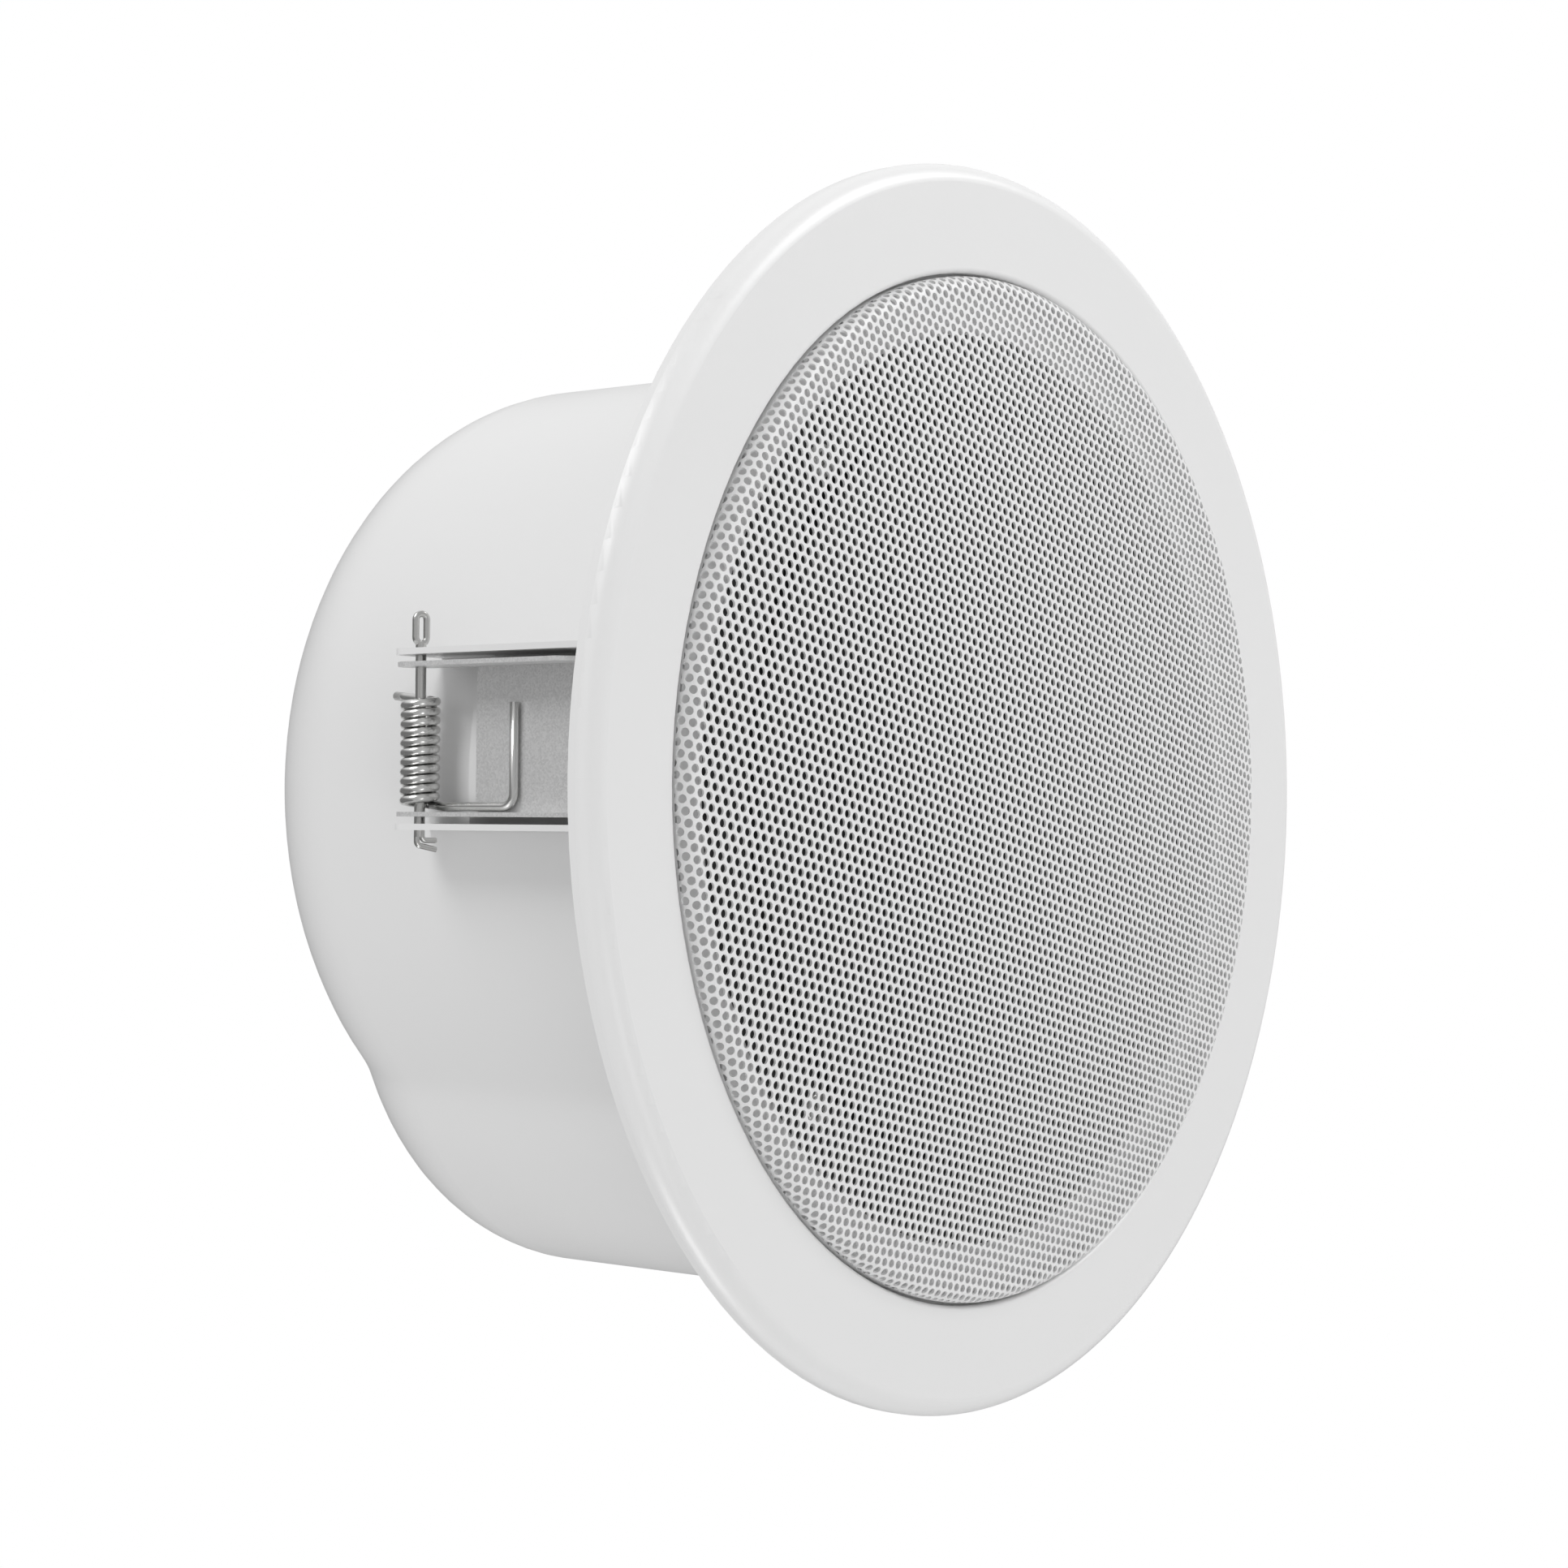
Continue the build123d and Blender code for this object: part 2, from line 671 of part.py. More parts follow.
# Right split pin: a shaft, an eye that stops it on one ear and two bent tails past the other
ear_top_y = clamp_centre_y + bracket_width / 2
ear_bottom_y = clamp_centre_y - bracket_width / 2
pin_plane = Plane(
    origin=(hinge_x, 0, hinge_z),
    x_dir=(cos(radians(pin_turn)), 0, -sin(radians(pin_turn))),
    z_dir=(sin(radians(pin_turn)), 0, cos(radians(pin_turn))),
)
eye_r = (pin_eye_width - pin_wire_d) / 2
eye_straight = (pin_eye_height - pin_eye_width) / 2
eye_y = ear_top_y + pin_above_ear + (pin_eye_height - pin_wire_d) / 2
split_y = ear_bottom_y - pin_below_ear
half_wire = pin_wire_d / 2
with BuildPart() as split_pin_right:
    with Locations(Location((hinge_x, split_y, hinge_z), (-90, 0, 0))):
        Cylinder(
            pin_d / 2,
            ear_top_y + pin_above_ear - split_y,
            align=(Align.CENTER, Align.CENTER, Align.MIN),
        )
    with BuildLine(pin_plane) as eye_path:
        Line((eye_r, eye_y - eye_straight), (eye_r, eye_y + eye_straight))
        CenterArc((0, eye_y + eye_straight), eye_r, 0, 180)
        Line((-eye_r, eye_y + eye_straight), (-eye_r, eye_y - eye_straight))
        CenterArc((0, eye_y - eye_straight), eye_r, 180, 180)
    with BuildSketch(Plane(origin=eye_path.wires()[0] @ 0, z_dir=eye_path.wires()[0] % 0)):
        Circle(half_wire)
    sweep(path=eye_path.wires()[0])
    for side, drop in ((1, pin_tail_drop), (-1, 0)):
        with BuildLine(pin_plane) as tail_path:
            FilletPolyline(
                (side * half_wire * 0.8, split_y + half_wire),
                (side * half_wire * 0.8, split_y - half_wire - drop),
                (-pin_tail_reach, split_y - half_wire - 2 * drop),
                radius=pin_tail_round,
            )
        with BuildSketch(Plane(origin=tail_path.wires()[0] @ 0, z_dir=tail_path.wires()[0] % 0)):
            Circle(half_wire * 0.85)
        sweep(path=tail_path.wires()[0])
save(split_pin_right, "split_pin_right")


# Left clamp: the mirror image of the right one
with BuildPart() as bracket_left:
    mirror(bracket_right.part, about=Plane.YZ)
save(bracket_left, "bracket_left")

with BuildPart() as lever_left:
    mirror(lever_right.part, about=Plane.YZ)
save(lever_left, "lever_left")

with BuildPart() as spring_left:
    mirror(spring_right.part, about=Plane.YZ)
save(spring_left, "torsion_spring_left")

with BuildPart() as split_pin_left:
    mirror(split_pin_right.part, about=Plane.YZ)
save(split_pin_left, "split_pin_left")


# Transformer core: a stack of laminations with two windows, standing on the rear wall
wall_z = can_depth - can_sheet
core_z = wall_z - core_height
core_mid_z = wall_z - core_height / 2
window_pitch = core_tongue + core_window_width
with BuildPart() as transformer_core:
    with Locations((0, transformer_y, core_z)):
        Box(core_width, core_depth, core_height, align=(Align.CENTER, Align.CENTER, Align.MIN))
    with Locations((0, transformer_y, core_mid_z)):
        with GridLocations(window_pitch, 0, 2, 1):
            Box(core_window_width, 2 * core_depth, core_window_height, mode=Mode.SUBTRACT)
save(transformer_core, "transformer_core")


# Bobbin: a square tube on the core's tongue with a flange at each end
tube_inner_x = core_tongue + 2 * bobbin_gap
tube_inner_y = core_depth + 2 * bobbin_gap
flange_x = core_tongue + 2 * (core_window_width - bobbin_gap)
flange_y = core_depth + 2 * winding_proud
bobbin_height = core_window_height - 2 * bobbin_gap
bobbin_z = core_mid_z - bobbin_height / 2
with BuildPart() as transformer_bobbin:
    with BuildSketch(Plane.XY.offset(bobbin_z)):
        with Locations((0, transformer_y)):
            Rectangle(tube_inner_x + 2 * bobbin_wall, tube_inner_y + 2 * bobbin_wall)
    extrude(amount=bobbin_height)
    for flange_z in (bobbin_z, bobbin_z + bobbin_height - bobbin_wall):
        with BuildSketch(Plane.XY.offset(flange_z)):
            with Locations((0, transformer_y)):
                Rectangle(flange_x, flange_y)
        extrude(amount=bobbin_wall)
    with BuildSketch(Plane.XY.offset(bobbin_z)):
        with Locations((0, transformer_y)):
            Rectangle(tube_inner_x, tube_inner_y)
    extrude(amount=bobbin_height, mode=Mode.SUBTRACT)
save(transformer_bobbin, "transformer_bobbin")

with BuildPart() as transformer_winding:
    with BuildSketch(Plane.XY.offset(bobbin_z + bobbin_wall)):
        with Locations((0, transformer_y)):
            Rectangle(flange_x - 2 * winding_gap, flange_y - 2 * winding_gap)
            Rectangle(
                tube_inner_x + 2 * bobbin_wall,
                tube_inner_y + 2 * bobbin_wall,
                mode=Mode.SUBTRACT,
            )
    extrude(amount=bobbin_height - 2 * bobbin_wall)
save(transformer_winding, "transformer_winding")


# Yoke: a strap over the core, held by two screws through the rear wall
yoke_inner_x = core_width / 2 + yoke_gap
yoke_top_z = core_z - yoke_gap
with BuildPart() as transformer_yoke:
    with BuildSketch(Plane.XZ.offset(-transformer_y + yoke_width / 2)):
        with BuildLine():
            Polyline(
                (-foot_x, wall_z),
                (-yoke_inner_x, wall_z),
                (-yoke_inner_x, yoke_top_z),
                (yoke_inner_x, yoke_top_z),
                (yoke_inner_x, wall_z),
                (foot_x, wall_z),
            )
            offset(amount=yoke_sheet, side=Side.RIGHT, kind=Kind.INTERSECTION)
        make_face()
    extrude(amount=-yoke_width)
    with BuildSketch(Plane.XY.offset(wall_z - yoke_sheet)):
        with Locations((0, transformer_y)):
            with GridLocations(yoke_screw_spacing, 0, 2, 1):
                Circle(yoke_screw_d / 2 + thread_gap)
    extrude(amount=yoke_sheet, mode=Mode.SUBTRACT)
save(transformer_yoke, "transformer_yoke")

with BuildPart() as transformer_screws:
    with BuildSketch(Plane.XY.offset(can_depth)):
        with Locations((0, transformer_y)):
            with GridLocations(yoke_screw_spacing, 0, 2, 1):
                Circle(yoke_screw_head_d / 2)
    extrude(amount=yoke_screw_head_h)
    fillet(transformer_screws.edges().group_by(Axis.Z)[-1], yoke_screw_head_h / 2)
    with BuildSketch(Plane.XY.offset(can_depth)):
        with Locations((0, transformer_y)):
            with GridLocations(yoke_screw_spacing, 0, 2, 1):
                Circle(yoke_screw_d / 2)
    extrude(amount=-yoke_screw_length)
    with BuildSketch(Plane.XY.offset(can_depth + yoke_screw_head_h)):
        with Locations((0, transformer_y)):
            with GridLocations(yoke_screw_spacing, 0, 2, 1):
                Rectangle(screw_recess_length, screw_recess_width)
                Rectangle(screw_recess_width, screw_recess_length)
    extrude(amount=-screw_recess, mode=Mode.SUBTRACT)
save(transformer_screws, "transformer_screws")

with BuildPart() as transformer_nuts:
    with BuildSketch(Plane.XY.offset(wall_z - yoke_sheet - yoke_nut_h)):
        with Locations((0, transformer_y)):
            with GridLocations(yoke_screw_spacing, 0, 2, 1):
                RegularPolygon(yoke_nut_flats / 2, 6, major_radius=False, rotation=30)
                Circle(yoke_screw_d / 2 + thread_gap, mode=Mode.SUBTRACT)
    extrude(amount=yoke_nut_h)
save(transformer_nuts, "transformer_nuts")


# Terminal block: a ceramic body with a brass insert and two screws for each conductor
block_z = wall_z - block_height
insert_z = block_z + block_height / 2
screw_top_z = block_z + block_screw_sunk
with BuildPart() as terminal_block:
    with Locations((block_x, block_y, block_z)):
        Box(block_length, block_width, block_height, align=(Align.CENTER, Align.CENTER, Align.MIN))
    fillet(terminal_block.edges().filter_by(Axis.Z), block_round)
    with Locations(Location((block_x, block_y, insert_z), (90, 0, 0))):
        with GridLocations(block_pole_pitch, 0, 3, 1):
            Cylinder(insert_d / 2 + insert_gap, 2 * block_width, mode=Mode.SUBTRACT)
    with BuildSketch(Plane.XY.offset(block_z)):
        with Locations((block_x, block_y)):
            with GridLocations(block_pole_pitch, 2 * block_screw_y, 3, 2):
                Circle(block_screw_d / 2 + thread_gap)
    extrude(amount=block_height / 2, mode=Mode.SUBTRACT)
    with BuildSketch(Plane.XY.offset(wall_z)):
        with Locations((block_x, block_y)):
            with GridLocations(block_fix_spacing, 0, 2, 1):
                Circle(block_fix_d / 2 + thread_gap)
    extrude(amount=-block_fix_length, mode=Mode.SUBTRACT)
save(terminal_block, "terminal_block")

with BuildPart() as block_inserts:
    with Locations(Location((block_x, block_y, insert_z), (90, 0, 0))):
        with GridLocations(block_pole_pitch, 0, 3, 1):
            Cylinder(insert_d / 2, insert_length)
            Cylinder(insert_bore_d / 2, 2 * insert_length, mode=Mode.SUBTRACT)
    with BuildSketch(Plane.XY.offset(block_z)):
        with Locations((block_x, block_y)):
            with GridLocations(block_pole_pitch, 2 * block_screw_y, 3, 2):
                Circle(block_screw_d / 2 + thread_gap)
    extrude(amount=block_height / 2, mode=Mode.SUBTRACT)
save(block_inserts, "block_inserts")

with BuildPart() as block_screws:
    with BuildSketch(Plane.XY.offset(screw_top_z)):
        with Locations((block_x, block_y)):
            with GridLocations(block_pole_pitch, 2 * block_screw_y, 3, 2):
                Circle(block_screw_d / 2)
    extrude(amount=insert_z - screw_top_z)
    with BuildSketch(Plane.XY.offset(screw_top_z)):
        with Locations((block_x, block_y)):
            with GridLocations(block_pole_pitch, 2 * block_screw_y, 3, 2):
                Rectangle(block_screw_d, screw_recess_width)
    extrude(amount=screw_recess, mode=Mode.SUBTRACT)
save(block_screws, "block_screws")

with BuildPart() as block_fixings:
    with BuildSketch(Plane.XY.offset(can_depth)):
        with Locations((block_x, block_y)):
            with GridLocations(block_fix_spacing, 0, 2, 1):
                Circle(block_fix_head_d / 2)
    extrude(amount=block_fix_head_h)
    fillet(block_fixings.edges().group_by(Axis.Z)[-1], block_fix_head_h / 2)
    with BuildSketch(Plane.XY.offset(can_depth)):
        with Locations((block_x, block_y)):
            with GridLocations(block_fix_spacing, 0, 2, 1):
                Circle(block_fix_d / 2)
    extrude(amount=-block_fix_length)
save(block_fixings, "block_fixings")


# Cable grommet: a rubber bush in the rear wall
bush_r = grommet_hole_r - grommet_gap
with BuildPart() as cable_grommet:
    with BuildSketch(Plane.XZ.offset(-grommet_y)):
        with BuildLine():
            FilletPolyline(
                (grommet_bore_r, wall_z - grommet_lip),
                (grommet_hole_r + grommet_flange, wall_z - grommet_lip),
                (grommet_hole_r + grommet_flange, wall_z),
                (bush_r, wall_z),
                (bush_r, can_depth),
                (grommet_hole_r + grommet_flange, can_depth),
                (grommet_hole_r + grommet_flange, can_depth + grommet_lip),
                (grommet_bore_r, can_depth + grommet_lip),
                radius=[0, grommet_round, 0, 0, 0, 0, grommet_round, 0],
                close=True,
            )
        make_face()
    revolve(axis=Axis((0, grommet_y, 0), (0, 0, 1)))
save(cable_grommet, "cable_grommet")
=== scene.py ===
# %% [markdown]
# # In ceiling speaker, seen from below and from the side
#
# The object is a public-address loudspeaker for a ceiling: a pressed trim ring, a domed
# grille of perforated sheet, a deep drawn can and two sprung clamps. Its shape comes from
# a finished CAD model. This notebook adds only what CAD leaves out: paint, zinc, wire,
# the thousands of punched holes, the light and the camera.

# %% Load the CAD frame
import json
import math

import bpy
from mathutils import Matrix, Vector


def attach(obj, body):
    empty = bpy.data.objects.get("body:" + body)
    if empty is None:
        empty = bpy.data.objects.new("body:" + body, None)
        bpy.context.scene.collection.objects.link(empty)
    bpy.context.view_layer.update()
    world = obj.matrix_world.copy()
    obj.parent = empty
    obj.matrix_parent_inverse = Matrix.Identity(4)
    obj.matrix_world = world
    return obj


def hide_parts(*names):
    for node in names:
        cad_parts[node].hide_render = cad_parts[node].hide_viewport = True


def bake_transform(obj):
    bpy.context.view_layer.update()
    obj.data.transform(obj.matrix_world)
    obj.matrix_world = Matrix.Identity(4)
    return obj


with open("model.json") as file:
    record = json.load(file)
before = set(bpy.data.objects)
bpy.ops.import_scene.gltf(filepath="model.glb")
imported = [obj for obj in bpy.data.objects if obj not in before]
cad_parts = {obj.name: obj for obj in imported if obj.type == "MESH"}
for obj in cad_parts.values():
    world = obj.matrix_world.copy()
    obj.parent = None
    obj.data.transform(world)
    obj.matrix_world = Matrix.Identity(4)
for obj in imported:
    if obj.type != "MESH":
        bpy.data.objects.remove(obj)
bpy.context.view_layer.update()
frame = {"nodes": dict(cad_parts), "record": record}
MM = 0.001

# %% [markdown]
# ## Node groups for effects that several finishes share
#
# Powder paint and wet enamel both dry with a faint waviness that is called orange peel.
# Zinc and steel sheet both have patches that reflect a little more or less. A node group
# holds such an effect once, and each finish sets its size and its strength.

# %% A helper that makes a node group
def new_group(name, inputs, output):
    """An empty group with float inputs {name: default} and one output (name, socket type)."""
    group = bpy.data.node_groups.new(name, "ShaderNodeTree")
    for label, value in inputs.items():
        socket = group.interface.new_socket(label, in_out="INPUT", socket_type="NodeSocketFloat")
        socket.default_value = value
    group.interface.new_socket(output[0], in_out="OUTPUT", socket_type=output[1])
    return group, group.nodes.new("NodeGroupInput"), group.nodes.new("NodeGroupOutput")


def link(tree, source, target):
    tree.links.new(source, target)


# %% Orange peel: a soft noise that feeds a Bump's Height
peel_group, group_in, group_out = new_group(
    "orange_peel", {"Scale": 400.0, "Strength": 1.0}, ("Height", "NodeSocketFloat")
)
coords = peel_group.nodes.new("ShaderNodeTexCoord")
noise = peel_group.nodes.new("ShaderNodeTexNoise")
noise.inputs["Detail"].default_value = 2.0
gain = peel_group.nodes.new("ShaderNodeMath")
gain.operation = "MULTIPLY"
link(peel_group, coords.outputs["Object"], noise.inputs["Vector"])
link(peel_group, group_in.outputs["Scale"], noise.inputs["Scale"])
link(peel_group, noise.outputs["Fac"], gain.inputs[0])
link(peel_group, group_in.outputs["Strength"], gain.inputs[1])
link(peel_group, gain.outputs[0], group_out.inputs["Height"])
print("group:", peel_group.name)

# %% Uneven gloss: a noise between two roughness values
gloss_group, group_in, group_out = new_group(
    "uneven_gloss", {"Scale": 60.0, "Low": 0.2, "High": 0.3}, ("Roughness", "NodeSocketFloat")
)
coords = gloss_group.nodes.new("ShaderNodeTexCoord")
noise = gloss_group.nodes.new("ShaderNodeTexNoise")
noise.inputs["Detail"].default_value = 3.0
spread = gloss_group.nodes.new("ShaderNodeMapRange")
link(gloss_group, coords.outputs["Object"], noise.inputs["Vector"])
link(gloss_group, group_in.outputs["Scale"], noise.inputs["Scale"])
link(gloss_group, noise.outputs["Fac"], spread.inputs["Value"])
link(gloss_group, group_in.outputs["Low"], spread.inputs["To Min"])
link(gloss_group, group_in.outputs["High"], spread.inputs["To Max"])
link(gloss_group, spread.outputs["Result"], group_out.inputs["Roughness"])
print("group:", gloss_group.name)

# %% Spangle: the fine grey crystals on zinc-coated sheet
spangle_group, group_in, group_out = new_group(
    "zinc_spangle", {"Scale": 2600.0, "Dark": 0.52, "Light": 0.70}, ("Grey", "NodeSocketFloat")
)
coords = spangle_group.nodes.new("ShaderNodeTexCoord")
cells = spangle_group.nodes.new("ShaderNodeTexVoronoi")
split = spangle_group.nodes.new("ShaderNodeSeparateColor")
spread = spangle_group.nodes.new("ShaderNodeMapRange")
link(spangle_group, coords.outputs["Object"], cells.inputs["Vector"])
link(spangle_group, group_in.outputs["Scale"], cells.inputs["Scale"])
link(spangle_group, cells.outputs["Color"], split.inputs["Color"])
link(spangle_group, split.outputs["Red"], spread.inputs["Value"])
link(spangle_group, group_in.outputs["Dark"], spread.inputs["To Min"])
link(spangle_group, group_in.outputs["Light"], spread.inputs["To Max"])
link(spangle_group, spread.outputs["Result"], group_out.inputs["Grey"])
print("group:", spangle_group.name)

# %% [markdown]
# ## Finishes
#
# Every finish starts from one Principled shader. A plain one needs only a colour, a
# roughness and whether it is metal. The painted, zinc and wire finishes then take one of
# the groups above. The colour is set on the socket, and no picture is used anywhere.

# %% A helper for plain finishes
def finish(name, color, roughness, metallic=0.0, coat=0.0):
    """A Principled material with constants on its sockets. Returns it and its shader."""
    material = bpy.data.materials.new(name)
    material.use_nodes = True
    shader = material.node_tree.nodes["Principled BSDF"]
    shader.inputs["Base Color"].default_value = (*color, 1.0)
    shader.inputs["Roughness"].default_value = roughness
    shader.inputs["Metallic"].default_value = metallic
    shader.inputs["Coat Weight"].default_value = coat
    return material, shader


BUMP_STRENGTH = 0.5


def add_group(material, group, socket, target, **values):
    """Places a group in a material, sets its inputs and links its output to target."""
    node = material.node_tree.nodes.new("ShaderNodeGroup")
    node.node_tree = group
    for label, value in values.items():
        node.inputs[label].default_value = value
    material.node_tree.links.new(node.outputs[socket], target)


def add_bump(material, shader, group, distance, **values):
    """Feeds a group's height through a Bump node to the shader's normal."""
    bump = material.node_tree.nodes.new("ShaderNodeBump")
    bump.inputs["Distance"].default_value = distance
    bump.inputs["Strength"].default_value = BUMP_STRENGTH
    material.node_tree.links.new(bump.outputs["Normal"], shader.inputs["Normal"])
    add_group(material, group, "Height", bump.inputs["Height"], **values)


# %% Three coats of off-white paint
WHITE = (0.80, 0.80, 0.80)
COAT_ROUGHNESS = 0.22
PAINT_GLOSS_SCALE = 70.0
PAINT_PEEL_SCALE = 420.0
materials = {}
for name, low, high, coat, peel in (
    ("painted_ring", 0.34, 0.42, 0.12, 0.00006),
    ("painted_grille", 0.42, 0.50, 0.0, 0.00003),
    ("painted_can", 0.26, 0.34, 0.15, 0.00008),
):
    paint, shader = finish(name, WHITE, low, coat=coat)
    shader.inputs["Coat Roughness"].default_value = COAT_ROUGHNESS
    add_group(
        paint, gloss_group, "Roughness", shader.inputs["Roughness"],
        Scale=PAINT_GLOSS_SCALE, Low=low, High=high,
    )
    add_bump(paint, shader, peel_group, peel, Scale=PAINT_PEEL_SCALE, Strength=1.0)
    materials[name] = paint
print("paints:", sorted(materials))

# %% Zinc sheet with spangle, and bright wire
SPANGLE_SCALE = 3200.0
ZINC_GLOSS_SCALE = 900.0
WIRE_GLOSS_SCALE = 500.0
zinc, shader = finish("zinc_sheet", (0.70, 0.70, 0.70), 0.4, metallic=0.45)
add_group(
    zinc, spangle_group, "Grey", shader.inputs["Base Color"],
    Scale=SPANGLE_SCALE, Dark=0.66, Light=0.80,
)
add_group(
    zinc, gloss_group, "Roughness", shader.inputs["Roughness"],
    Scale=ZINC_GLOSS_SCALE, Low=0.32, High=0.46,
)
materials["zinc_sheet"] = zinc
wire, shader = finish("spring_steel", (0.70, 0.70, 0.69), 0.2, metallic=1.0)
add_group(
    wire, gloss_group, "Roughness", shader.inputs["Roughness"],
    Scale=WIRE_GLOSS_SCALE, Low=0.14, High=0.3,
)
materials["spring_steel"] = wire
print("metals: zinc_sheet, spring_steel")

# %% The plain finishes of the inner pieces
FINE_PEEL = 0.00002
FINE_PEEL_SCALE = 900.0
for name, color, roughness, metallic in (
    ("screw_steel", (0.58, 0.58, 0.57), 0.24, 1.0),
    ("frame_black", (0.02, 0.02, 0.02), 0.45, 0.0),
    ("magnet_ferrite", (0.04, 0.04, 0.045), 0.6, 0.0),
    ("plated_iron", (0.50, 0.50, 0.47), 0.35, 1.0),
    ("paper_cone", (0.022, 0.022, 0.024), 0.85, 0.0),
    ("surround_rubber", (0.02, 0.02, 0.02), 0.6, 0.0),
    ("spider_cloth", (0.45, 0.32, 0.10), 0.8, 0.0),
    ("copper_wire", (0.55, 0.22, 0.09), 0.3, 1.0),
    ("card", (0.03, 0.028, 0.026), 0.8, 0.0),
    ("board", (0.20, 0.10, 0.04), 0.5, 0.0),
    ("brass", (0.70, 0.50, 0.22), 0.3, 1.0),
    ("lamination", (0.22, 0.22, 0.23), 0.5, 0.8),
    ("bobbin_nylon", (0.62, 0.60, 0.52), 0.5, 0.0),
    ("winding_tape", (0.50, 0.38, 0.06), 0.4, 0.0),
    ("steatite", (0.72, 0.68, 0.58), 0.35, 0.0),
    ("grommet_rubber", (0.025, 0.025, 0.025), 0.55, 0.0),
):
    plain, shader = finish(name, color, roughness, metallic)
    add_bump(plain, shader, peel_group, FINE_PEEL, Scale=FINE_PEEL_SCALE, Strength=1.0)
    materials[name] = plain
print("finishes:", len(materials))

# %% Give each CAD node the finish that its record names
for entry in frame["record"]["subparts"]:
    node = frame["nodes"][entry["node"]]
    node.data.materials.clear()
    node.data.materials.append(materials[entry["material_slot"]])

# %% [markdown]
# ## The perforated dome
#
# The real grille is a steel sheet with about eight thousand small round holes in a
# hexagonal pattern. Cutting them one by one would take hours, so one small cell, a hexagon
# with a hole, is repeated with Geometry Nodes: a grid of points, every second row shifted
# by half a pitch, and a cell on each point. Then the cells are laid on a sphere, and past
# the dome's edge over the short round that leads down to the skirt, so the holes run on
# over that edge. Only what lies beyond the round's end is pulled in to it. The dome is made
# in four quarters, to keep each piece light.

# %% Sizes of the perforated sheet, in metres
PITCH = 2.03 * MM
HOLE_R = 0.74 * MM
SHEET = 0.45 * MM
DISC_R = 91.9 * MM
SPHERE_R = 885.0 * MM
APEX_Z = -12.0 * MM
SKIRT_R = 94.4 * MM
SKIRT_END_Z = -1.9 * MM
ROW_TURN = math.radians(13.3)
ROW_H = PITCH * math.sqrt(3) / 2
CELL_SIDES = 12
CELL_REACH = 0.577  # from a cell's centre to its corner, in pitches
NUDGE = 1e-7  # gives the axis to one quarter only, and keeps it from dividing by nought


def dome_z(r):
    return APEX_Z + SPHERE_R - math.sqrt(SPHERE_R**2 - r**2)


EDGE_SLOPE = math.asin(DISC_R / SPHERE_R)
EDGE_ROUND = (SKIRT_R - DISC_R) / (1 - math.sin(EDGE_SLOPE))
SHEET_R = DISC_R + EDGE_ROUND * (math.pi / 2 - EDGE_SLOPE)
print("edge round:", round(EDGE_ROUND / MM, 2), "mm")
print("flat sheet radius:", round(SHEET_R / MM, 2), "mm")


# %% One cell: a hexagon with a round hole, front and back faces and the hole's wall
def cell_mesh():
    corners, rim = [], []
    for i in range(CELL_SIDES):
        angle = math.pi / 6 * i
        reach = PITCH / 2 if i % 2 == 0 else PITCH / math.sqrt(3)
        corners.append((reach * math.cos(angle), reach * math.sin(angle)))
        rim.append((HOLE_R * math.cos(angle), HOLE_R * math.sin(angle)))
    verts = [(x, y, z) for z in (0.0, SHEET) for ring in (corners, rim) for x, y in ring]
    n = CELL_SIDES
    faces = []
    for i in range(n):
        j = (i + 1) % n
        faces.append((i, n + i, n + j, j))
        faces.append((2 * n + i, 2 * n + j, 3 * n + j, 3 * n + i))
        faces.append((n + i, 3 * n + i, 3 * n + j, n + j))
    mesh = bpy.data.meshes.new("grille_cell")
    mesh.from_pydata(verts, [], faces)
    mesh.update()
    return mesh


cell = bpy.data.objects.new("grille_cell", cell_mesh())
bpy.context.scene.collection.objects.link(cell)
print("cell faces:", len(cell.data.polygons))

# %% Small helpers for Geometry Nodes
def geo_group(name, inputs):
    """A Geometry Nodes group with the named inputs {name: (socket type, default)}."""
    group = bpy.data.node_groups.new(name, "GeometryNodeTree")
    for label, (kind, value) in inputs.items():
        socket = group.interface.new_socket(label, in_out="INPUT", socket_type=kind)
        if value is not None:
            socket.default_value = value
    group.interface.new_socket("Geometry", in_out="OUTPUT", socket_type="NodeSocketGeometry")
    return group


def math_node(group, operation, a, b=None, c=None):
    """A Math node. Each operand is a number or another node's output."""
    node = group.nodes.new("ShaderNodeMath")
    node.operation = operation
    for i, operand in enumerate((a, b, c)):
        if operand is None:
            continue
        if isinstance(operand, (int, float)):
            node.inputs[i].default_value = operand
        else:
            group.links.new(operand, node.inputs[i])
    return node.outputs[0]


# %% The perforated dome as a node group
dome = geo_group(
    "perforated_dome",
    {
        "Pitch": ("NodeSocketFloat", PITCH),
        "Disc Radius": ("NodeSocketFloat", DISC_R),
        "Sphere Radius": ("NodeSocketFloat", SPHERE_R),
        "Apex Z": ("NodeSocketFloat", APEX_Z),
        "Edge Round": ("NodeSocketFloat", EDGE_ROUND),
        "Sheet Radius": ("NodeSocketFloat", SHEET_R),
        "Side X": ("NodeSocketFloat", 1.0),
        "Side Y": ("NodeSocketFloat", 1.0),
        "Cell": ("NodeSocketObject", None),
        "Material": ("NodeSocketMaterial", None),
    },
)
nodes = dome.nodes
into, out = nodes.new("NodeGroupInput"), nodes.new("NodeGroupOutput")
rows = 2 * int(SHEET_R / ROW_H + 2) + 1
columns = 2 * int(SHEET_R / PITCH + 2) + 1
pitch = into.outputs["Pitch"]
row_height = math_node(dome, "MULTIPLY", pitch, math.sqrt(3) / 2)
grid = nodes.new("GeometryNodeMeshGrid")
grid.inputs["Vertices X"].default_value = columns
grid.inputs["Vertices Y"].default_value = rows
link(dome, math_node(dome, "MULTIPLY", pitch, columns - 1.0), grid.inputs["Size X"])
